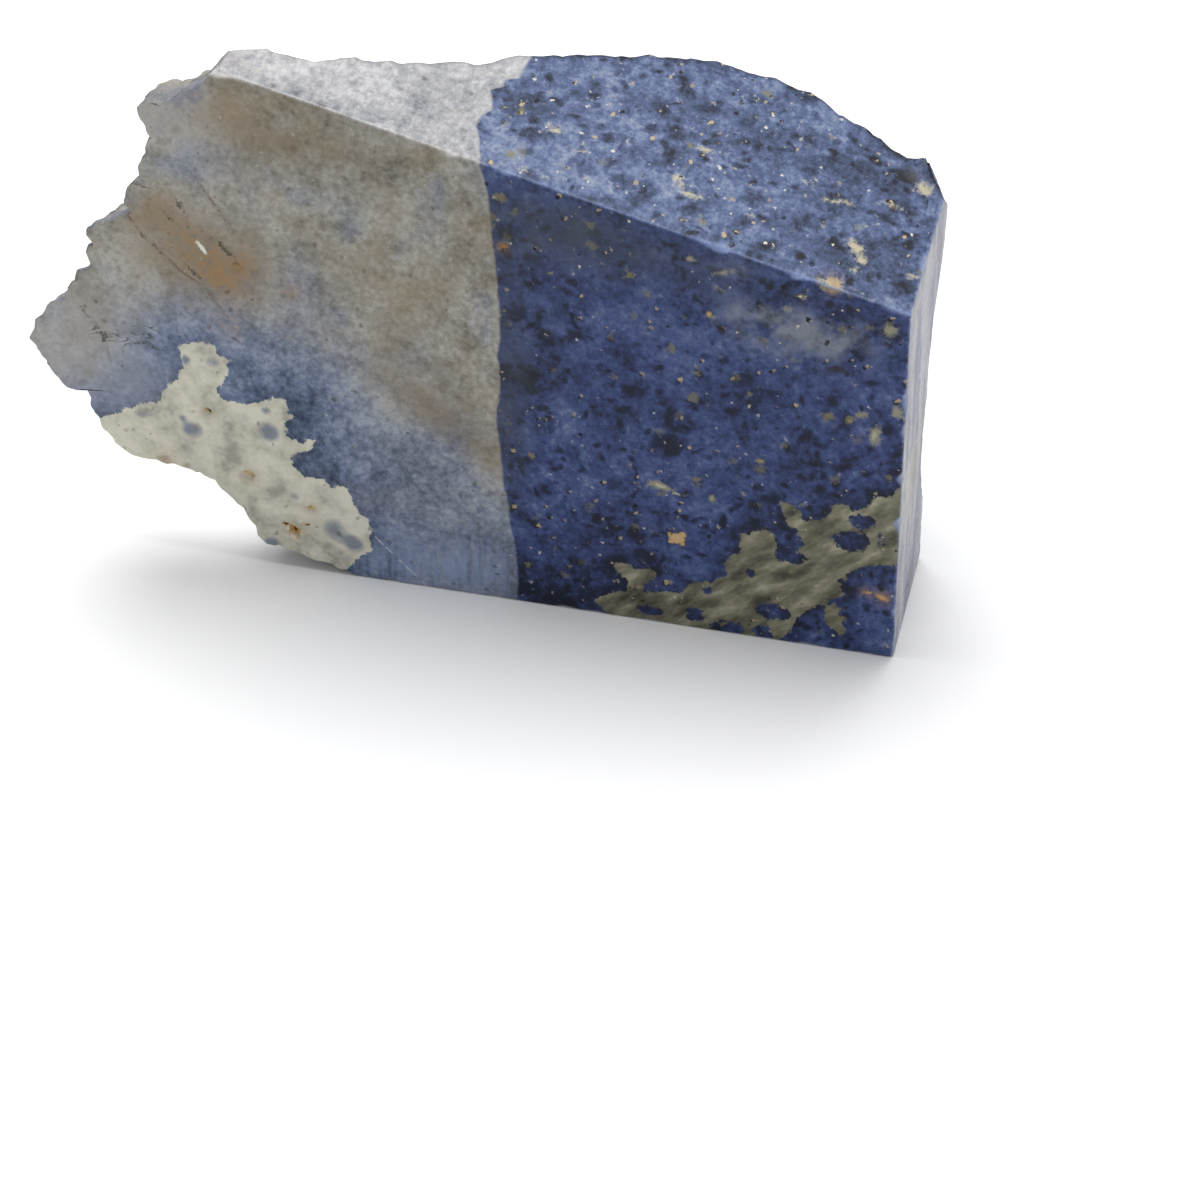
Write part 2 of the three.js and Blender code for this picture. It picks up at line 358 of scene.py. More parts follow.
# Chipped edges. Each sawn edge is a straight line whose nearby points are drawn into the
# stone, least where the saw left it crisp and most where splinters broke away.
TOP_SIDE = 37.0
BASE_SIDE = 30.0
CORNER_TOP = (-RIGHT_LEAN_Z * RIGHT_HEIGHT, 0.0, RIGHT_HEIGHT)
BACK_TOP = (CORNER_TOP[0] - RIGHT_LEAN_Y * TOP_SIDE, TOP_SIDE, RIGHT_HEIGHT)
SAWN_EDGES = (  # from, to, direction into the stone, how chipped, seed
    ((TOP_LEFT[0], 0.0, TOP_LEFT[1]), CORNER_TOP, (0.17, 0.7, -0.68), 1.0, 41),
    ((0.0, 0.0, 0.0), CORNER_TOP, (-0.7, 0.7, 0.0), 0.8, 42),
    ((-BASE_LENGTH, 0.0, 0.0), (0.0, 0.0, 0.0), (0.0, 0.7, 0.7), 0.3, 43),
    (CORNER_TOP, BACK_TOP, (-0.6, 0.0, -0.8), 1.0, 44),
    ((0.0, 0.0, 0.0), (-0.7, BASE_SIDE, 0.0), (-0.7, 0.0, 0.7), 0.4, 45),
)
# How worn and chipped each point near a sawn edge is; besides the bruised powder it places a painted
# edge highlight.
edge_wear_and_highlight = np.zeros(len(points))
for start, end, inward, chipped, seed in SAWN_EDGES:
    start, end, inward = (np.array(a, float) for a in (start, end, inward))
    length = np.linalg.norm(end - start)
    heading = (end - start) / length
    run = np.clip((points - start) @ heading, 0, length)
    away = np.linalg.norm(points - start - run[:, None] * heading, axis=1)
    chips = np.maximum(0, grit(run, 0, 0, 3.1, seed)) ** 1.5
    chips = chipped * (chips + 1.4 * np.maximum(0, grit(run, 3, 0, 9.0, seed) - 0.45))
    worn = 0.2 + 0.85 * chips
    reach = 0.5 + 1.3 * worn
    near = np.clip(1 - away / reach, 0, 1) ** 1.5
    points = points + (worn * near)[:, None] * inward
    edge_wear_and_highlight = np.maximum(edge_wear_and_highlight, near * (0.6 * chipped + chips))


# Pits. Where soft grains fell out, the front is dented by a few rounded hollows.
HOLLOWS = (  # x, z, radius, depth
    (-122.3, 31, 0.8, 0.7), (-115.4, 18.6, 1.0, 0.8), (-116.6, 18.9, 0.7, 0.5),
    (-107.8, 8, 1.1, 0.9), (-109.2, 8.8, 0.7, 0.6), (-104.5, 13.4, 0.8, 0.5),
    (-105, 9.4, 0.6, 0.4), (-131, 19.9, 0.9, 0.6), (-142.5, 46.3, 1.0, 0.6),
    (-140.2, 44.2, 1.2, 0.5), (-141, 40.8, 0.9, 0.4), (-136, 46.6, 1.3, 0.6),
    (-132.6, 45.6, 1.5, 0.6), (-132, 43.4, 1.0, 0.5), (-119.2, 66.4, 0.8, 0.5),
    (-113.9, 61.2, 0.8, 0.4), (-126.1, 60.2, 0.7, 0.4), (-129.4, 63.6, 0.7, 0.4),
    (-35, 63.5, 0.8, 0.6), (-44.5, 33, 0.8, 0.5), (-37, 25.3, 0.7, 0.4), (-57, 46, 0.7, 0.4),
    (-51.5, 39, 0.8, 0.5), (-14.5, 22, 0.9, 0.5))
for at_x, at_z, radius, dent in HOLLOWS:
    away = np.hypot(points[:, 0] - at_x, points[:, 2] - at_z) / radius
    points[:, 1] += np.where(d == 0, dent * (1 - smooth(away / 1.6)), 0.0)


# Marks in the rock. Each is a field over the stone's skin in mm: the pale albite patches
# with the blue spots in them, the line up to which the right half is wet, the khaki
# weathered upper part of the dry half, rust round a crack, and creamy, dark and tan spots.
x, y, z = points.T


def reach_of(outline, px, pz):
    """Distance in mm inside a closed outline, negative outside: the least distance to any
    of its sides, with the sign found by counting the sides crossed along a level line."""
    outline = np.array(outline, float)
    nearest = np.full(px.shape, 1e9)
    inside = np.zeros(px.shape, bool)
    for (ax, az), (bx, bz) in zip(outline, np.roll(outline, -1, axis=0)):
        side = np.array([bx - ax, bz - az])
        share = np.clip(((px - ax) * side[0] + (pz - az) * side[1]) / (side @ side), 0, 1)
        nearest = np.minimum(nearest, np.hypot(px - ax - share * side[0], pz - az - share * side[1]))
        crosses = ((az > pz) != (bz > pz)) & (px < ax + (pz - az) * side[0] / (bz - az + 1e-12))
        inside ^= crosses
    return np.where(inside, nearest, -nearest)


def line_reach(line, px, pz):
    """Distance in mm to a line of points, positive on its left, and how far along its
    middle the place lies: 1 beside the line, 0 past its ends."""
    line = np.array(line, float)
    nearest = np.full(px.shape, 1e9)
    signed = np.full(px.shape, 1e9)
    for (ax, az), (bx, bz) in zip(line[:-1], line[1:]):
        side = np.array([bx - ax, bz - az])
        length = np.hypot(*side)
        share = np.clip(((px - ax) * side[0] + (pz - az) * side[1]) / length ** 2, 0, 1)
        away = np.hypot(px - ax - share * side[0], pz - az - share * side[1])
        cross = (side[0] * (pz - az) - side[1] * (px - ax)) / length
        signed = np.where(away < nearest, np.sign(cross) * away, signed)
        nearest = np.minimum(nearest, away)
    return signed, smooth((3.0 - nearest) / 1.5)


PALE_LEFT = (
    (-144, 25.5), (-137, 29), (-134, 31), (-131.5, 31.5), (-130.5, 33.5), (-127, 37.5),
    (-126, 40.5), (-126.5, 44), (-123.5, 45), (-120.5, 45.5), (-119.5, 43), (-117.5, 42),
    (-118.5, 39), (-120.5, 36), (-119.5, 34), (-116, 33), (-113, 34.5), (-110.5, 35.5),
    (-107.5, 36), (-107.5, 33), (-105.5, 33), (-108, 31), (-108, 28.5), (-105.5, 27),
    (-103, 28), (-103.5, 26), (-108, 24), (-106.5, 21.5), (-105.5, 20), (-102, 20),
    (-100, 18.5), (-98, 19.5), (-97, 16), (-94.5, 13), (-93.5, 10.5), (-93.5, 6.5),
    (-96.5, 4), (-97.5, 2.5), (-99.5, -2), (-150, -2), (-150, 22))
PALE_RIGHT = (
    (-52, 2.5), (-50, 4.2), (-46.9, 5.4), (-46.6, 7.6), (-49.2, 11), (-47.8, 11.4), (-46, 9.6),
    (-43.4, 11), (-42.8, 10.2), (-45, 7.9), (-44.7, 5.6), (-37, 6.3), (-36, 9), (-32, 10),
    (-28.5, 12), (-29.5, 15), (-26.5, 18), (-27, 21), (-23.5, 23), (-21.5, 21), (-20.5, 18),
    (-18.5, 21), (-16.5, 24),
    (-19, 25.5), (-20, 28.5), (-18, 27.5), (-17, 25.5), (-14.5, 26), (-12, 27.5), (-11, 30),
    (-9.5, 30), (-9, 28.5), (-6.5, 29.5), (-4.5, 32.5), (-2, 33), (-0.5, 35), (4, 35.5),
    (4, 20), (-2, 20.5), (-5.5, 19.5), (-8.5, 17.5), (-11, 15), (-10, 12.5), (-12.5, 10),
    (-14.5, 9), (-17.5, 6), (-18.5, 3), (-20, 1.5), (-22.5, -3), (-45, -3))
BRANCH_RIGHT = ((-12.5, 9.5), (-10.5, 9.5), (-8.5, 3.5), (-10, 3), (-12, 5.5))
SOFT_SPOTS = (  # x, z, radius across, radius up, turn in degrees, strength
    (-134.5, 28.5, 1.6, 1.1, 0, 0.8), (-127.3, 29, 0.9, 0.9, 0, 0.5),
    (-125.5, 26.5, 2.1, 1.8, 0, 0.8), (-111.5, 28.5, 2.2, 2.0, 0, 0.9),
    (-111.5, 33, 1.0, 0.9, 0, 0.7), (-120.5, 41.5, 1.9, 1.7, 0, 0.6),
    (-125.5, 41, 0.8, 1.3, 0, 0.8), (-107.5, 15.5, 1.3, 1.1, 0, 0.6),
    (-100.5, 9.5, 2.4, 2.6, 0, 0.7), (-96.5, 7, 1.8, 1.7, 0, 0.8),
    (-120.5, 23.5, 0.8, 0.7, 0, 0.6), (-112, 4.6, 1.8, 1.5, 0, 0.9),
    (-98.6, 3.4, 2.2, 1.3, 0, 0.5), (-114, 24, 1.2, 0.9, 0, 0.3), (-103, 17, 1.2, 0.8, 0, 0.3))
BLUE_SPOTS = (  # x, z, radius across, radius up
    (-19, 21.5, 2.4, 2.2), (-19, 18.5, 2.6, 1.4), (-7, 27.5, 2.4, 1.7), (-8.5, 23.5, 3.4, 2.1),
    (-21.5, 6, 2.8, 1.8), (-43, 2.2, 2.0, 0.9), (-35, 3, 1.6, 1.5), (-29, 1.2, 3.0, 1.4),
    (-23, 1.5, 2.0, 1.8), (-33, 8.3, 1.0, 0.8), (-25.5, 13.5, 1.1, 0.9), (-3.2, 24.5, 0.8, 1.6))

pale = np.maximum(reach_of(PALE_LEFT, x - 0.1 * y, z + 0.25 * y),
                  reach_of(PALE_RIGHT, x + 0.15 * y, z - 0.1 * y) + 0.6)
pale = np.maximum(pale, reach_of(BRANCH_RIGHT, x, z)) - 0.12 * np.maximum(0, y - 2)
for at_x, at_z, wide, tall in BLUE_SPOTS:
    spot = (np.hypot((x - at_x) / wide, (z - at_z) / tall) - 1) * min(wide, tall)
    pale = np.minimum(pale, np.where(y < 3, spot, 9.0))

WET_FRONT = np.array([  # z, x
    (0, -67), (7, -67), (14, -67.5), (20.5, -68.5), (25.5, -69), (30, -69.5), (37.5, -70),
    (42, -69.5), (50.5, -69.5), (58, -69), (66.5, -69.5), (72, -70), (78.5, -70.5),
    (83.5, -71), (86.5, -72)])
WET_TOP = np.array([  # y, x
    (0, -72), (2.5, -72.5), (6.5, -74), (10, -75.5), (13, -75.5), (16.5, -74.3), (22.5, -76.5),
    (24, -74.7), (26.5, -75), (28, -73.2), (34, -73.2)])
wet = x - follow(WET_FRONT, z) - (follow(WET_TOP, y) - WET_TOP[0, 1])
wander = 4.0 * grit(x, y, z, 14.0, 71) + 2.0 * grit(x, y, z, 5.0, 72)
wet = wet + smooth(y / 30) * (d == 1) * wander

KHAKI_LINE = np.array([  # x, z
    (-154, 20), (-144, 28), (-134, 44), (-126, 50), (-119, 48), (-104, 56), (-87, 44),
    (-69.5, 29), (0, 20)])
khaki = z - follow(KHAKI_LINE, x) + 0.3 * y

RUST = (  # x, z, radius, strength
    (-119.5, 61.5, 3.6, 0.8), (-117.5, 58.5, 3.8, 0.8), (-122.5, 66, 4.0, 0.6),
    (-113.5, 63, 3.0, 0.5), (-106, 57.5, 1.6, 0.7), (-117, 50, 3.0, 0.5), (-130, 70, 5.0, 0.25),
    (-117, 92, 6, 0.3), (-38.5, 18.5, 1.3, 0.3), (-2.5, 12.5, 1.5, 0.7), (-5.5, 13.2, 1.2, 0.5),
    (-115.5, 18.5, 1.6, 0.6), (-107.5, 8, 2.2, 0.9), (-104.5, 13.5, 1.2, 0.6),
    (-122.5, 31, 1.2, 0.5), (-131, 19, 2.2, 0.5), (-14, 73, 1.5, 1.0), (-68.5, 72, 0.9, 0.9))
rust = np.zeros(x.shape)
for at_x, at_z, radius, strength in RUST:
    away = (x - at_x) ** 2 + (z - at_z) ** 2 + (0.5 * y) ** 2
    rust = rust + strength * np.exp(-away / (2 * (radius * 0.7) ** 2))

CRACKS = (
    ((-134, 69.2), (-131.5, 65.5), (-129.5, 63.5), (-125.5, 59.5), (-121, 56.5), (-118, 52)),
    ((-121, 77.5), (-119, 74.5), (-116, 70)))
SCRATCHES = (((-121.5, 25), (-119, 28.5)), ((-95, 11.5), (-84, 0.6)), ((-117, 33), (-116, 30)))


def lines_of(lines):
    """The signed distance to the nearest of several lines, and the mask around them, on the
    front face alone."""
    best, mask = np.full(x.shape, 4.0), np.zeros(x.shape)
    for line in lines:
        signed, beside = line_reach(line, x, z)
        best = np.where(np.abs(signed) < np.abs(best), signed, best)
        mask = np.maximum(mask, beside)
    return best, mask * (y < 0.5)


FISSURES = (
    ((-143.5, 48), (-140.5, 44.5), (-140, 40.5)), ((-141, 44), (-136.5, 44.6), (-132, 46.6)),
    ((-136, 42.6), (-133.5, 43.6), (-130.5, 42.6)), ((-133.5, 47), (-131.5, 44.8)),
    ((-132.8, 75.3), (-131, 75)), ((-126.4, 69.4), (-125.8, 68.8)),
    ((-117.2, 65.2), (-115.8, 63.8)), ((-122.6, 59.2), (-122, 58.6)),
    ((-124.4, 72.4), (-123.9, 71.8)))
fissure, fissure_mask = lines_of(FISSURES)
crack, crack_mask = lines_of(CRACKS)
scratch, scratch_mask = lines_of(SCRATCHES)

CREAM_FRONT = (  # x, z, radius across, radius up, turn in degrees, strength; the next lists too
    (-41.5, 29, 2.3, 0.8, -12, 1.0), (-32.5, 28, 1.2, 0.6, -60, 0.7), (-5.5, 45.5, 0.9, 2.0, 0, 1.0),
    (-8, 49, 1.2, 0.8, 20, 0.8), (-2, 50.5, 1.0, 1.4, 20, 0.9), (-24.5, 37, 0.8, 0.6, 0, 0.7),
    (-27, 30, 0.6, 0.5, 0, 0.7), (-17, 29.5, 0.8, 0.6, 0, 0.6), (-4, 66, 1.1, 1.7, -20, 0.9),
    (-31.5, 72.8, 2.6, 0.6, 20, 0.7), (-37, 74.5, 0.9, 0.6, 0, 0.8), (-32, 69.5, 1.0, 0.7, 0, 0.6),
    (-18.5, 70, 1.0, 0.7, 0, 0.7), (-33.5, 64, 1.0, 0.6, 0, 0.6), (-20.5, 67.5, 1.0, 0.6, 0, 0.6),
    (-14, 72.6, 2.2, 1.0, -10, 0.9), (-121, 64, 2.2, 0.35, -52, 1.2))
CREAM_TOP = (  # x, y, radius across, radius in, turn in degrees, strength
    (-12.5, 13.5, 2.0, 1.1, -60, 1.1), (-10.8, 10.2, 1.0, 1.0, -70, 0.9), (-11.5, 7, 1.3, 1.0, 0, 0.6),
    (-5.5, 38, 1.5, 1.6, 0, 0.9), (-17.5, 25.5, 3.4, 0.7, 16, 0.9), (-9.5, 29.5, 2.2, 0.8, 10, 0.7),
    (-22.5, 28, 1.5, 0.8, 0, 0.8), (-40.5, 26.5, 1.7, 0.9, -45, 0.9), (-37.5, 27.5, 1.0, 0.8, 0, 0.6),
    (-42.5, 15, 1.6, 1.0, -40, 1.0), (-39.5, 12, 1.9, 0.6, -10, 0.8), (-53, 13.5, 1.1, 0.8, 0, 0.6),
    (-2.5, 11, 1.2, 0.9, 0, 0.8), (-64, 17, 1.6, 1.2, -30, 0.8), (-58.5, 13, 1.2, 0.9, 0, 0.7),
    (-65.5, 2.5, 1.6, 1.0, 0, 0.6), (-61.5, 2.5, 1.2, 0.8, 0, 0.5), (-14, 1.2, 2.0, 1.4, 0, 0.9),
    (-30, 12, 1.2, 0.7, 20, 0.5), (-27, 39, 1.4, 0.7, 0, 0.4), (-50, 44, 2.0, 0.6, 20, 0.4))
DARK_FRONT = (
    (-121, 93, 2.5, 2.2, 0, 0.9), (-137, 37.5, 1.2, 1.2, 0, 0.9), (-132.5, 33.5, 1.8, 1.0, 0, 0.7),
    (-146, 36, 1.0, 0.8, 0, 0.6), (-148.5, 43, 0.9, 0.8, 0, 0.5), (-139, 33, 1.0, 0.8, 0, 0.5),
    (-115.5, 38.5, 3, 3, 0, 0.8), (-114.5, 83.5, 3, 2.5, 0, 0.3), (-121.5, 77, 3, 2.2, 0, 0.5),
    (-120, 86, 2, 4, 20, 0.4), (-7, 67, 4.5, 3.0, 0, 0.7), (-96, 84, 9, 4, 10, 0.35),
    (-60, 66, 4, 5, 0, 0.25), (-40, 60, 6, 4, 0, 0.3), (-12, 55, 5, 4, 0, 0.3),
    (-50, 42, 5, 4, 0, 0.2), (-15, 38, 8, 3, 0, 0.35), (-12, 60, 10, 10, 0, 0.3),
    (-22, 48, 9, 8, 0, 0.65), (-9, 42, 8, 12, 0, 0.7), (-33, 45, 6, 5, 0, 0.2),
    (-60, 4, 11, 7, 0, 1.9), (-50, 12, 10, 7, 0, 0.9), (-38, 17, 6, 4, 0, 0.6),
    (-67.5, 40, 2.5, 30, 0, 0.7), (-56, 20, 5, 5, 0, 0.3), (-34, 21, 7, 5, 0, 0.25))
DARK_TOP = (
    (-48, 16.5, 1.5, 1.2, 0, 0.9), (-36, 10, 2.2, 1.6, 0, 0.9), (-16.5, 33, 1.6, 1.2, 0, 0.8),
    (-74, 23, 1.2, 2.0, 0, 0.6), (-70.5, 21.5, 3.2, 0.6, -35, 1.2), (-30, 8, 3.0, 1.6, 0, 0.6),
    (-24, 6, 3, 1.4, 0, 0.4), (-4, 43, 3, 3, 0, 1.6), (-55, 34, 4, 3, 0, 0.25),
    (-36, 40, 5, 3, 0, 0.25), (-14, 26, 12, 12, 0, 0.9), (-8, 12, 8, 8, 0, 0.5))
WARM = (  # brownish where the strength is above 0 and bluish where it is below
    (-121.5, 92.5, 3, 2.6, 0, -2.2), (-121.5, 79, 3, 3.5, 0, -1.1), (-103, 76, 3, 3, 0, -1.2),
    (-95, 70, 3, 2.5, 0, -1.0), (-86, 68, 2.5, 2.5, 0, -1.0), (-118, 92, 6, 5, 0, 1.0),
    (-104, 86, 9, 4, -15, 0.8), (-128, 62, 8, 8, 0, 0.8), (-96, 66, 7, 5, 0, 0.5),
    (-84, 60, 6, 5, 0, 0.5), (-90, 78, 6, 4, 0, 0.4), (-76, 54, 4, 7, 0, 0.5),
    (-110, 72, 8, 6, 0, 0.5), (-80, 36, 12, 4, -38, 1.0), (-121, 57, 7, 6, 0, 0.8),
    (-88, 22, 5, 3, 0, 0.5), (-78, 14, 4, 3, 0, 0.4))
LOBE = (
    (-127, 88, 6, 5, 0, 0.7), (-119, 84, 4, 6, 0, 0.4), (-112, 73, 4, 7, 0, 0.3),
    (-146, 40, 9, 11, 0, 1.2), (-136, 36, 8, 6, -30, 0.8), (-136, 51, 7, 4, 0, 0.4))
FRONT_MARKS = {
    "soft_spots": SOFT_SPOTS,
    "haze": ((-27, 65, 5, 3.0, 0, 0.8), (-19, 63, 6, 3.6, 0, 1.2), (-11, 62, 4, 3.2, 0, 0.8),
             (-30, 74, 5, 2, 0, 0.3), (-62, 50, 4, 9, 0, 0.15)),
    "stain": ((-80, 37, 13, 3.5, -38, 1.1), (-121, 60, 9, 8, 0, 0.7), (-127, 68, 8, 6, 0, 0.5),
              (-112, 84, 9, 7, 0, 0.5), (-95, 62, 14, 9, 0, 0.25), (-90, 82, 16, 5, -14, 0.2),
              (-93, 17, 6, 3.5, 0, 0.5)),
    "powder": ((-76, 6, 9, 6, -8, 1.0), (-90, 4, 8, 4, -8, 0.8)),
    "olive": ((-60, 76, 12, 7, 0, 1.1), (-45, 74, 14, 4, -14, 0.6), (-68, 55, 4, 16, 0, 0.6),
              (-68, 35, 3, 12, 0, 0.8)),
}


def blotches(marks, across, up):
    """The sum of soft oval marks, each as wide, tall, turned and strong as its line says."""
    total = np.zeros(across.shape)
    for at_across, at_up, wide, tall, turn, strength in marks:
        cos, sin = math.cos(math.radians(turn)), math.sin(math.radians(turn))
        off_across, off_up = across - at_across, up - at_up
        along = (off_across * cos + off_up * sin) / wide
        beside = (off_up * cos - off_across * sin) / tall
        total += strength * np.exp(-0.8 * (along ** 2 + beside ** 2))
    return total


on_front = (d == 0).astype(float)
on_top = (t == 1) & (d > 0)
on_right = (s == 1) & (d > 0) & (t < 1)
on_rim = (s == 0) & (d > 0)
on_front_dark = on_front * blotches(DARK_FRONT, x, z)
# Besides the dark spots, a thin dark line along the top's back edge is painted shade, standing for the
# shadowed broken back beyond it.
on_top_dark = blotches(DARK_TOP, x, y) + 1.6 * smooth((d - 0.96) / 0.04)
dark = np.where(on_top, on_top_dark, on_front_dark)

FIELDS = {
    "pale": pale, "wet": wet, "khaki": khaki, "rust": rust, "edge_wear_and_highlight": edge_wear_and_highlight,
    "crack": crack, "crack_mask": crack_mask, "fissure": fissure, "fissure_mask": fissure_mask,
    "scratch": scratch, "scratch_mask": scratch_mask,
    "cream": np.where(on_top, blotches(CREAM_TOP, x, y), on_front * blotches(CREAM_FRONT, x, z)),
    # On the rim the dark field also carries painted shade, darkening its lamp-lit facets unevenly.
    "dark": dark + on_rim * (1.0 + 1.8 * grit(x, y, z, 2.2, 55)),
    "cloud": 0.5 + 0.3 * grit(x, y, z, 12.0, 51) + 0.18 * grit(x, y, z, 6.0, 52),
    "lobe": on_front * np.clip(blotches(LOBE, x, z), 0, 1),
    "warm": (on_front * blotches(WARM, x, z)
             + 0.9 * grit(x, y, z, 8.0, 53) + 0.7 * grit(x, y, z, 3.6, 54)),
    "broken": ((d == 1) | on_rim).astype(float),
    "rim": on_rim * smooth((1 - d) / 0.6),
    "right_side": on_right.astype(float),
    "top_side": np.where(on_top, 1.0, np.where(on_rim, 0.15, 0.0)),
    **{name: on_front * blotches(marks, x, z) for name, marks in FRONT_MARKS.items()},
}

stone_mesh = bpy.data.meshes.new("dumortierite_stone")
stone_mesh.from_pydata((CORNER + points * MM).tolist(), [], quads.tolist())
stone_mesh.shade_smooth()
for name, values in FIELDS.items():
    attribute = stone_mesh.attributes.new(name, "FLOAT", "POINT")
    attribute.data.foreach_set("value", values.astype(np.float32))
WAVER = 1.5  # mm that the loosely bent places move at most
waver = np.stack([WAVER * grit(x, y, z, 2.8, seed) for seed in (61, 62, 63)], -1) * MM
attribute = stone_mesh.attributes.new("waver", "FLOAT_VECTOR", "POINT")
attribute.data.foreach_set("vector", waver.astype(np.float32).ravel())
stone = bpy.data.objects.new("dumortierite_stone", stone_mesh)
bpy.context.scene.collection.objects.link(stone)


# Sawn dumortierite. A tough quartz rock full of blue dumortierite needles: dull and powdery
# where dry, deep blue and half glossy where wet, with pale albite, rust and tiny gold flecks.
rock = bpy.data.materials.new("sawn_dumortierite_rock")
rock.use_nodes = True
tree = rock.node_tree
tree.nodes.clear()
SQUEEZE = 0.65  # scales the depth, so that the grain is drawn out from front to back
place = add(tree, "ShaderNodeTexCoord").outputs["Object"]
grain_place = add(tree, "ShaderNodeMapping", {
    "Vector": place, "Scale": (1.0, SQUEEZE, 1.0)}).outputs[0]


def per_mm(size):
    """The scale of a pattern whose features are this many mm wide."""
    return 1.0 / (size * MM)


def field(name):
    """The output of one of the stone's own fields."""
    return add(tree, "ShaderNodeAttribute", attribute_name=name).outputs["Fac"]


cloud = field("cloud")
mottle = add(tree, "ShaderNodeTexNoise", {
    "Vector": grain_place, "Scale": per_mm(4.4), "Detail": 3.0, "Roughness": 0.6}).outputs["Fac"]
grain = add(tree, "ShaderNodeTexNoise", {
    "Vector": grain_place, "Scale": per_mm(1.2), "Detail": 2.6, "Roughness": 0.8})
speckle = grain.outputs["Fac"]  # its colour bends places below

# Two bent places, so that the cells below lose their regular outlines.
FINE_BEND = 1.3  # mm that the fine bend moves a place at most, and on average half of it
waver = add(tree, "ShaderNodeAttribute", attribute_name="waver").outputs["Vector"]
loosely = add(tree, "ShaderNodeVectorMath", {0: grain_place, 1: waver}).outputs[0]
finely = add(tree, "ShaderNodeVectorMath", {
    0: grain.outputs["Color"], 1: [FINE_BEND * MM] * 3, 2: grain_place},
    operation="MULTIPLY_ADD").outputs[0]

# Dark blots: the middles of bent cells, each with a radius of its own.
blots = 0.0
for cell, reach, softness in ((4.8, 0.54, 0.56), (2.4, 0.5, 0.46)):
    cells = add(tree, "ShaderNodeTexVoronoi", {"Vector": loosely, "Scale": per_mm(cell)})
    chance = add(tree, "ShaderNodeSeparateColor", {"Color": cells.outputs["Color"]})
    radius = add(tree, "ShaderNodeMath", {
        0: chance.outputs["Blue"], 1: reach, 2: reach / 4}, operation="MULTIPLY_ADD").outputs[0]
    inner = add(tree, "ShaderNodeMath", {
        0: radius, 1: cells.outputs["Distance"]}, operation="SUBTRACT").outputs[0]
    blot = add(tree, "ShaderNodeMapRange", {
        "Value": inner, "From Min": 0.0, "From Max": softness},
        interpolation_type="SMOOTHSTEP").outputs[0]
    blots = add(tree, "ShaderNodeMath", {0: blots, 1: blot}, operation="MAXIMUM").outputs[0]

# The pale patches' own field: its edges branch with the grain of the rock.
pale_field = field("pale")
for part, weight in ((speckle, 2.2), (mottle, 2.0)):
    pale_field = add(tree, "ShaderNodeMath", {
        0: part, 1: weight, 2: pale_field}, operation="MULTIPLY_ADD").outputs[0]
pale_share, border = [
    add(tree, "ShaderNodeMapRange", {"Value": pale_field, "From Min": low, "From Max": high},
        interpolation_type="SMOOTHSTEP").outputs[0]
    for low, high in ((1.9, 2.25), (-1.8, 1.95))]

# Tone of the blue rock, from 0, nearly black, to 1, pale; the dry rock shows more fine grit
# and fainter blots than the wet one.
tone = -0.2
for part, weight in ((cloud, 0.34), (mottle, 0.7), (speckle, 0.72), (field("dark"), -0.13),
                     (border, -0.15)):
    tone = add(tree, "ShaderNodeMath", {
        0: part, 1: weight, 2: tone}, operation="MULTIPLY_ADD").outputs[0]
tone_wet = add(tree, "ShaderNodeMath", {
    0: blots, 1: -0.3, 2: tone}, operation="MULTIPLY_ADD").outputs[0]
tone = add(tree, "ShaderNodeMath", {
    0: blots, 1: -0.14, 2: tone}, operation="MULTIPLY_ADD").outputs[0]
fine_grit = add(tree, "ShaderNodeMath", {
    0: speckle, 1: 0.22, 2: -0.105}, operation="MULTIPLY_ADD").outputs[0]
tone = add(tree, "ShaderNodeMath", {0: tone, 1: fine_grit}, operation="ADD").outputs[0]

# The wet rock: deep blue, and paler on top, where it mirrors more light.
wet_front = add(tree, "ShaderNodeValToRGB", {"Fac": tone_wet}, stops=(
    (0.28, "11162a"), (0.42, "1a2240"), (0.54, "2b3860"), (0.66, "384877"), (0.8, "4b5b88"),
    (0.98, "7480a0"))).outputs["Color"]
wet_top = add(tree, "ShaderNodeValToRGB", {"Fac": tone_wet}, stops=(
    (0.3, "181b26"), (0.42, "283045"), (0.54, "3b4762"), (0.66, "4d5a7c"), (0.78, "667390"),
    (0.95, "888f9f"))).outputs["Color"]
top_side = field("top_side")
wet_blue = add(tree, "ShaderNodeMix", {
    0: top_side, 6: wet_front, 7: wet_top}, data_type="RGBA").outputs[2]

# The dry rock: grey blue, khaki where it is weathered, warmer or colder in places, a richer
# blue round the pale patches and nearly white on top.
dry_blue, dry_khaki, dry_top, rich_blue = [
    add(tree, "ShaderNodeValToRGB", {"Fac": tone},
        stops=list(zip((0.26, 0.46, 0.64, 0.9), colours))).outputs["Color"]
    for colours in (("4c535f", "68707f", "7f8797", "a3a9b2"), ("66635a", "86837a", "9b9990", "b8b6b0"),
                    ("5b5c64", "86878b", "9b9b9d", "bababa"), ("353f55", "536079", "6c7b98", "97a3ba"))]
warm = field("warm")
warm_khaki = add(tree, "ShaderNodeMix", {
    0: 0.55, 6: dry_khaki, 7: linear("8f8061")}, data_type="RGBA").outputs[2]
for full, most, colour in ((1.4, 0.9, warm_khaki), (-1.6, 0.8, dry_blue)):
    share = add(tree, "ShaderNodeMapRange", {
        "Value": warm, "From Min": -0.2, "From Max": full, "To Max": most}).outputs[0]
    dry_khaki = add(tree, "ShaderNodeMix", {
        0: share, 6: dry_khaki, 7: colour}, data_type="RGBA").outputs[2]
khaki_field = add(tree, "ShaderNodeMath", {
    0: cloud, 1: 30.0, 2: field("khaki")}, operation="MULTIPLY_ADD").outputs[0]
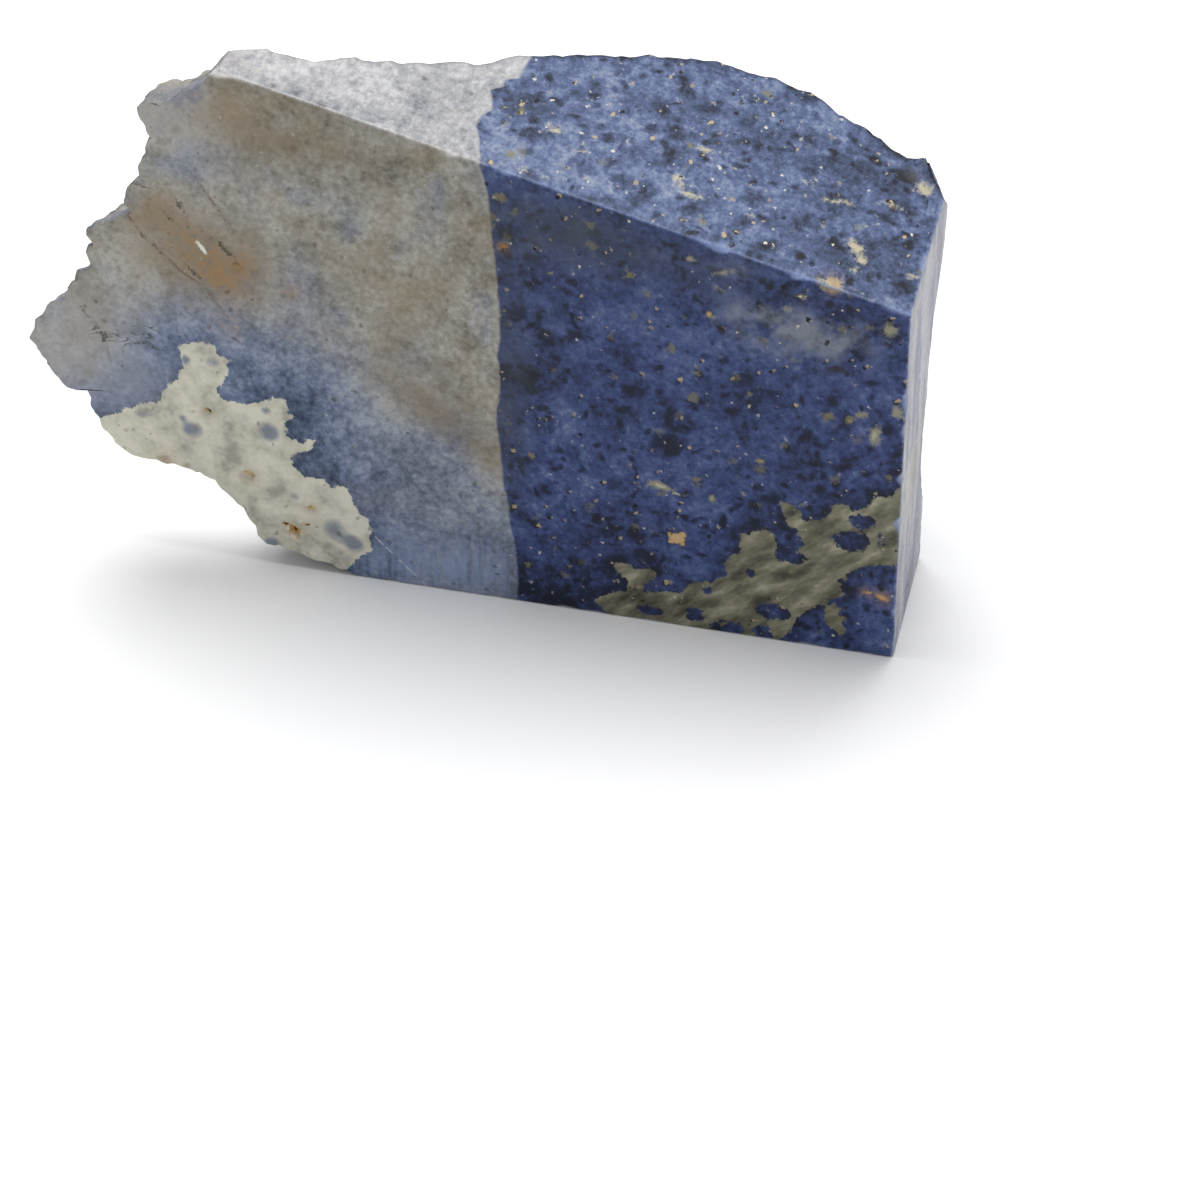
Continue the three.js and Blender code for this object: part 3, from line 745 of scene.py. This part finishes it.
khaki_share = add(tree, "ShaderNodeMapRange", {
    "Value": khaki_field, "From Min": 3.0, "From Max": 27.0},
    interpolation_type="SMOOTHSTEP").outputs[0]
rich_share = add(tree, "ShaderNodeMapRange", {
    "Value": pale_field, "From Min": -13.6, "From Max": 1.4, "To Max": 0.9},
    interpolation_type="SMOOTHSTEP").outputs[0]
SAW_STRETCH = 0.08  # scales the height, so that the saw lines are long and upright
saw_place = add(tree, "ShaderNodeMapping", {
    "Vector": place, "Scale": (1.0, SQUEEZE, SAW_STRETCH)}).outputs[0]
saw_lines = add(tree, "ShaderNodeTexNoise", {
    "Vector": saw_place, "Scale": per_mm(0.9), "Detail": 2.0}).outputs["Fac"]
saw_lines = add(tree, "ShaderNodeMapRange", {
    "Value": saw_lines, "From Min": 0.38, "From Max": 0.66,
    "To Min": 0.15, "To Max": 0.9}).outputs[0]
dry_layers = [(khaki_share, dry_khaki), (rich_share, rich_blue)]
for name, by, colour in (("lobe", 0.4, "aeb0b9"), ("stain", mottle, "7d7160"),
                         ("powder", saw_lines, "8a9abb")):
    share = add(tree, "ShaderNodeMath", {0: field(name), 1: by}, operation="MULTIPLY").outputs[0]
    dry_layers.append((share, linear(colour)))
dry = dry_blue
for share, colour in dry_layers + [(top_side, dry_top)]:
    dry = add(tree, "ShaderNodeMix", {0: share, 6: dry, 7: colour}, data_type="RGBA").outputs[2]

# The wet half, up to a slightly ragged line.
wet_field = add(tree, "ShaderNodeMath", {
    0: mottle, 1: 1.6, 2: field("wet")}, operation="MULTIPLY_ADD").outputs[0]
wet_share = add(tree, "ShaderNodeMapRange", {
    "Value": wet_field, "From Min": 0.45, "From Max": 1.1},
    interpolation_type="SMOOTHSTEP").outputs[0]
olive = add(tree, "ShaderNodeMath", {0: field("olive"), 1: mottle}, operation="MULTIPLY").outputs[0]
patchy = add(tree, "ShaderNodeMapRange", {
    "Value": mottle, "From Min": 0.36, "From Max": 0.66}).outputs[0]
hazy = add(tree, "ShaderNodeMath", {0: field("haze"), 1: patchy}, operation="MULTIPLY").outputs[0]
hazy = add(tree, "ShaderNodeMath", {0: hazy, 1: 0.9}, operation="MINIMUM").outputs[0]
for share, colour in ((olive, "3f4347"), (hazy, "80868f")):
    wet_blue = add(tree, "ShaderNodeMix", {
        0: share, 6: wet_blue, 7: linear(colour)}, data_type="RGBA").outputs[2]
body = add(tree, "ShaderNodeMix", {0: wet_share, 6: dry, 7: wet_blue}, data_type="RGBA").outputs[2]

# Pale albite, smooth and clouded where dry, olive and streaked where wet.
drawn = add(tree, "ShaderNodeMapping", {
    "Vector": place, "Rotation": (0.0, math.radians(-38.0), 0.0), "Scale": (2.4, 1.0, 1.0)},
    vector_type="TEXTURE").outputs[0]
strands = add(tree, "ShaderNodeTexNoise", {
    "Vector": drawn, "Scale": per_mm(2.6), "Detail": 3.0, "Roughness": 0.6}).outputs["Fac"]
pale_dry = add(tree, "ShaderNodeValToRGB", {"Fac": mottle}, stops=(
    (0.32, "a2a297"), (0.45, "c5c3b3"), (0.62, "dad7c7"))).outputs["Color"]
pale_wet = add(tree, "ShaderNodeValToRGB", {"Fac": strands}, stops=(
    (0.3, "3f3e33"), (0.44, "626151"), (0.55, "7a7864"), (0.7, "9e9b87"))).outputs["Color"]
soft = add(tree, "ShaderNodeMath", {
    0: field("soft_spots"), 1: mottle}, operation="MULTIPLY").outputs[0]
soft = add(tree, "ShaderNodeMapRange", {
    "Value": soft, "From Min": 0.17, "From Max": 0.36, "To Max": 0.8}).outputs[0]
pale_dry = add(tree, "ShaderNodeMix", {
    0: soft, 6: pale_dry, 7: linear("69728a")}, data_type="RGBA").outputs[2]
pale_colour = add(tree, "ShaderNodeMix", {
    0: wet_share, 6: pale_dry, 7: pale_wet}, data_type="RGBA").outputs[2]

# Creamy blotches, rust, the rusty cracks, open fissures and the saw's scratches.
cream_field = add(tree, "ShaderNodeMath", {
    0: speckle, 1: 1.5, 2: field("cream")}, operation="MULTIPLY_ADD").outputs[0]
cream_share = add(tree, "ShaderNodeMapRange", {
    "Value": cream_field, "From Min": 0.95, "From Max": 1.6, "To Max": 0.92},
    interpolation_type="SMOOTHSTEP").outputs[0]
cream_colour = add(tree, "ShaderNodeMix", {
    0: top_side, 6: linear("98947d"), 7: linear("b0a98f")}, data_type="RGBA").outputs[2]
rust_grain = add(tree, "ShaderNodeMath", {0: speckle, 1: mottle}, operation="MULTIPLY").outputs[0]
rust_grain = add(tree, "ShaderNodeMapRange", {
    "Value": rust_grain, "From Min": 0.19, "From Max": 0.3}).outputs[0]
rust_share = add(tree, "ShaderNodeMath", {
    0: rust_grain, 1: field("rust")}, operation="MULTIPLY").outputs[0]
rust_share = add(tree, "ShaderNodeMath", {0: rust_share, 1: 0.68}, operation="MINIMUM").outputs[0]
for share, colour in ((pale_share, pale_colour), (cream_share, cream_colour),
                      (rust_share, linear("a07c50"))):
    body = add(tree, "ShaderNodeMix", {0: share, 6: body, 7: colour}, data_type="RGBA").outputs[2]
gaps = add(tree, "ShaderNodeMapRange", {
    "Value": speckle, "From Min": 0.42, "From Max": 0.6}).outputs[0]
LINES = (  # field, waver, half width in mm, strength, colour
    ("crack", 2.0, 0.5, 0.8, "664f37"),
    ("fissure", 3.0, 0.65, 0.85, "45443d"),
    ("scratch", 0.3, 0.24, 0.7, "d0d2d4"),
)
for name, waver_by, half_width, strength, colour in LINES:
    away = add(tree, "ShaderNodeMath", {
        0: speckle, 1: waver_by, 2: field(name)}, operation="MULTIPLY_ADD").outputs[0]
    away = add(tree, "ShaderNodeMath", {0: away, 1: waver_by / 2}, operation="SUBTRACT").outputs[0]
    away = add(tree, "ShaderNodeMath", {0: away}, operation="ABSOLUTE").outputs[0]
    line = add(tree, "ShaderNodeMapRange", {
        "Value": away, "From Min": half_width, "From Max": half_width / 5, "To Max": strength},
        interpolation_type="SMOOTHSTEP").outputs[0]
    for part in (field(name + "_mask"), gaps):
        line = add(tree, "ShaderNodeMath", {0: line, 1: part}, operation="MULTIPLY").outputs[0]
    body = add(tree, "ShaderNodeMix", {
        0: line, 6: body, 7: linear(colour)}, data_type="RGBA").outputs[2]

# Tiny pyrite, quartz and tan grains with black pits beside them: the middles of scattered
# cells, few of which are filled, more of them where the rock is cloudy. Each is uneven in
# outline and has a size and a faintness of its own.
GRAINS = (  # shift and cell in mm, share of cells left empty, radius, colour, strength wet, dry
    ((0.35, 0.0, 0.3), 1.9, 0.42, 0.23, "0a0b10", 1.1, 0.5),
    ((0.0, 0.0, 0.0), 1.9, 0.46, 0.2, "a8987a", 1.2, 0.25),
    # The pale specks are quartz grains and also painted glints, shown more strongly where wet.
    ((7.0, 3.0, 5.0), 1.4, 0.66, 0.2, "c6c3b4", 0.95, 0.4),
    ((3.0, 9.0, 2.0), 4.2, 0.62, 0.22, "75704f", 0.8, 0.25),
)
for shift, cell, empty, radius, colour, when_wet, when_dry in GRAINS:
    shifted = add(tree, "ShaderNodeVectorMath", {
        0: finely, 1: [value * MM for value in shift]}).outputs[0]
    cells = add(tree, "ShaderNodeTexVoronoi", {"Vector": shifted, "Scale": per_mm(cell)})
    chance = add(tree, "ShaderNodeSeparateColor", {"Color": cells.outputs["Color"]})
    chosen = add(tree, "ShaderNodeMath", {
        0: cloud, 1: 0.4, 2: chance.outputs["Green"]}, operation="MULTIPLY_ADD").outputs[0]
    chosen = add(tree, "ShaderNodeMath", {
        0: chosen, 1: empty + 0.2}, operation="GREATER_THAN").outputs[0]
    away = cells.outputs["Distance"]
    for part, weight in ((chance.outputs["Blue"], 1.0), (speckle, -3.2)):
        away = add(tree, "ShaderNodeMath", {
            0: part, 1: weight * radius, 2: away}, operation="MULTIPLY_ADD").outputs[0]
    fleck = add(tree, "ShaderNodeMapRange", {
        "Value": away, "From Min": -0.25 * radius, "From Max": -0.75 * radius}).outputs[0]
    faint = add(tree, "ShaderNodeMath", {
        0: chance.outputs["Red"], 1: 0.8, 2: 0.3}, operation="MULTIPLY_ADD").outputs[0]
    shown = add(tree, "ShaderNodeMapRange", {
        "Value": wet_share, "To Min": when_dry, "To Max": when_wet}).outputs[0]
    for part in (faint, chosen, shown):
        fleck = add(tree, "ShaderNodeMath", {0: fleck, 1: part}, operation="MULTIPLY").outputs[0]
    body = add(tree, "ShaderNodeMix", {
        0: fleck, 6: body, 7: linear(colour)}, data_type="RGBA").outputs[2]

# Single crystals and rust pits of the front, each an uneven oval with a core and a rim.
SINGLES = (  # x, z, radii across and up, turn in degrees, colours of rim and core, core's share
    (-39.6, 17.9, 0.7, 0.6, 40, "b5986c", "bfa176", 0.7),
    (-37.4, 19.5, 0.7, 0.7, 40, "b09468", "c2a478", 0.7),
    (-37.5, 17.8, 0.7, 0.5, -30, "a98c62", "b5986c", 0.7),
    (-39.8, 19.2, 0.5, 0.5, 0, "a98c62", "b5986c", 0.7),
    (-38.5, 18.6, 1.6, 1.2, 8, "b09468", "c2a478", 0.85),
    (-121, 64.2, 0.5, 1.7, 32, "cfccc0", "e4e3dd", 0.7),
    (-122.3, 31, 0.9, 0.6, -15, "b0a079", "241b10", 0.6),
    (-115.8, 18.7, 1.4, 0.6, -20, "c2ad7c", "3a2a16", 0.55),
    (-107.9, 8, 1.3, 0.8, -25, "b08a52", "38240f", 0.6),
    (-109.3, 9, 0.8, 0.5, -30, "a88a5c", "4a3116", 0.6),
    (-104.6, 13.4, 0.9, 0.6, 0, "c4b184", "9a8350", 0.5),
    (-105.2, 9.6, 0.6, 0.4, 0, "9a7a4a", "4b3415", 0.5),
    (-2.6, 12.6, 1.4, 0.5, -20, "a98458", "c09768", 0.6),
    (-5, 13.2, 1.0, 0.35, 0, "8f7a58", "b08f63", 0.6),
    (-41.5, 29, 2.0, 0.7, -20, "8b8a78", "b1af9c", 0.6),
    (-38.8, 27.9, 0.9, 0.4, -20, "8b8a78", "a9a793", 0.6),
    (-32.7, 28, 0.7, 0.9, 20, "7b7967", "9b987f", 0.5),
    (-5.6, 45.4, 0.7, 1.9, -10, "8b8a78", "a9a893", 0.6),
    (-68.3, 72.2, 0.9, 0.4, 0, "7c5a38", "a06c3a", 0.6),
    (-33.8, 64.4, 0.6, 0.8, 0, "8a7550", "b49a66", 0.5),
    (-8, 49, 0.7, 0.6, 0, "76755f", "8b8a72", 0.6),
    (-24.5, 37, 0.8, 0.6, 30, "6d6a52", "8b8566", 0.6))
SHIFT = FINE_BEND / 2
for at_x, at_z, across, up, turn, rim_colour, core_colour, core in SINGLES:
    centre = (CORNER[0] + (at_x + SHIFT) * MM, CORNER[1] * SQUEEZE + SHIFT * MM,
              (at_z + SHIFT) * MM)
    offset = add(tree, "ShaderNodeMapping", {
        "Vector": finely, "Location": centre, "Rotation": (0.0, math.radians(-turn), 0.0),
        "Scale": (across * MM, 1.1 * MM, up * MM)}, vector_type="TEXTURE").outputs[0]
    away = add(tree, "ShaderNodeVectorMath", {0: offset}, operation="LENGTH").outputs["Value"]
    for reach, colour in ((1.0, rim_colour), (core, core_colour)):
        share = add(tree, "ShaderNodeMapRange", {
            "Value": away, "From Min": reach, "From Max": reach * 0.7}).outputs[0]
        body = add(tree, "ShaderNodeMix", {
            0: share, 6: body, 7: linear(colour)}, data_type="RGBA").outputs[2]

# The right side: a painted reflection of the pale surround, pale lavender in upright saw streaks over
# the blue.
grain_sum = add(tree, "ShaderNodeMath", {0: mottle, 1: speckle}, operation="ADD").outputs[0]
grit_tone = add(tree, "ShaderNodeMath", {0: grain_sum, 1: 0.5}, operation="MULTIPLY").outputs[0]
streak_place = add(tree, "ShaderNodeMapping", {"Vector": finely, "Scale": (1.0, 1.0, 0.2)}).outputs[0]
streaks = add(tree, "ShaderNodeTexNoise", {
    "Vector": streak_place, "Scale": per_mm(3.0), "Detail": 2.0}).outputs["Fac"]
for part, weight in ((mottle, -0.5), (speckle, 0.3)):
    streaks = add(tree, "ShaderNodeMath", {
        0: part, 1: weight, 2: streaks}, operation="MULTIPLY_ADD").outputs[0]
# The share of the painted reflection: streaky, and on the right side alone.
painted_reflection = add(tree, "ShaderNodeMapRange", {
    "Value": streaks, "From Min": 0.24, "From Max": 0.52,
    "To Min": 0.35, "To Max": 0.95}).outputs[0]
painted_reflection = add(tree, "ShaderNodeMath", {
    0: painted_reflection, 1: field("right_side")}, operation="MULTIPLY").outputs[0]
painted_reflection_colour = add(tree, "ShaderNodeValToRGB", {"Fac": grit_tone}, stops=(
    (0.35, "9d9ca6"), (0.5, "b5b4b8"), (0.65, "c6c5c6"))).outputs["Color"]

# The broken back and rim: dirty, brownish weathering in the hollows over the same rock, and painted
# bluish grey shade on the rim's facets.
broken = field("broken")
dirt = add(tree, "ShaderNodeMapRange", {
    "Value": grain_sum, "From Min": 0.8, "From Max": 1.1, "To Max": 0.8}).outputs[0]
dirt = add(tree, "ShaderNodeMath", {0: dirt, 1: broken}, operation="MULTIPLY").outputs[0]
dirt_colour = add(tree, "ShaderNodeMix", {
    0: wet_share, 6: linear("8f8a82"), 7: linear("44434a")}, data_type="RGBA").outputs[2]
# Painted shade over the rim's facets, deepest where the grain is dark and fading towards the back.
shaded = add(tree, "ShaderNodeMapRange", {
    "Value": grit_tone, "From Min": 0.62, "From Max": 0.42,
    "To Min": 0.15, "To Max": 0.85}).outputs[0]
shaded = add(tree, "ShaderNodeMath", {0: shaded, 1: field("rim")}, operation="MULTIPLY").outputs[0]

# Bruised white powder along the chipped edges, which is also a painted edge highlight: white where dry
# and pale blue where wet.
bruise_and_highlight = add(tree, "ShaderNodeMath", {0: field("edge_wear_and_highlight"), 1: speckle}, operation="MULTIPLY").outputs[0]
bruise_and_highlight = add(tree, "ShaderNodeMapRange", {
    "Value": bruise_and_highlight, "From Min": 0.06, "From Max": 0.4, "To Max": 0.65}).outputs[0]
bruise_and_highlight_colour = add(tree, "ShaderNodeMix", {
    0: wet_share, 6: linear("dcdcdc"), 7: linear("8fa0c8")}, data_type="RGBA").outputs[2]
for share, colour in ((painted_reflection, painted_reflection_colour), (dirt, dirt_colour), (shaded, linear("5f6472")),
                      (bruise_and_highlight, bruise_and_highlight_colour)):
    body = add(tree, "ShaderNodeMix", {0: share, 6: body, 7: colour}, data_type="RGBA").outputs[2]

# Finish: powdery where dry, half glossy where wet. The grain of the rock stands out a
# little, most on the broken skin.
RELIEF = 0.6 * MM
gloss = add(tree, "ShaderNodeMapRange", {
    "Value": wet_share, "To Min": 0.8, "To Max": 0.36}).outputs[0]
gloss = add(tree, "ShaderNodeMath", {
    0: speckle, 1: 0.16, 2: gloss}, operation="MULTIPLY_ADD").outputs[0]
bump_strength = add(tree, "ShaderNodeMapRange", {
    "Value": broken, "To Min": 0.25, "To Max": 0.9}).outputs[0]
relief = add(tree, "ShaderNodeMath", {0: broken, 1: mottle}, operation="MULTIPLY").outputs[0]
relief = add(tree, "ShaderNodeMath", {
    0: relief, 1: 1.5, 2: speckle}, operation="MULTIPLY_ADD").outputs[0]
bump = add(tree, "ShaderNodeBump", {
    "Height": relief, "Strength": bump_strength, "Distance": RELIEF}).outputs[0]
shader = add(tree, "ShaderNodeBsdfPrincipled", {
    "Base Color": body, "Roughness": gloss, "Normal": bump, "IOR": 1.54, "Specular IOR Level": 0.2})
add(tree, "ShaderNodeOutputMaterial", {"Surface": shader.outputs[0]})
stone_mesh.materials.append(rock)

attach(stone, "root")
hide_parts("stone")
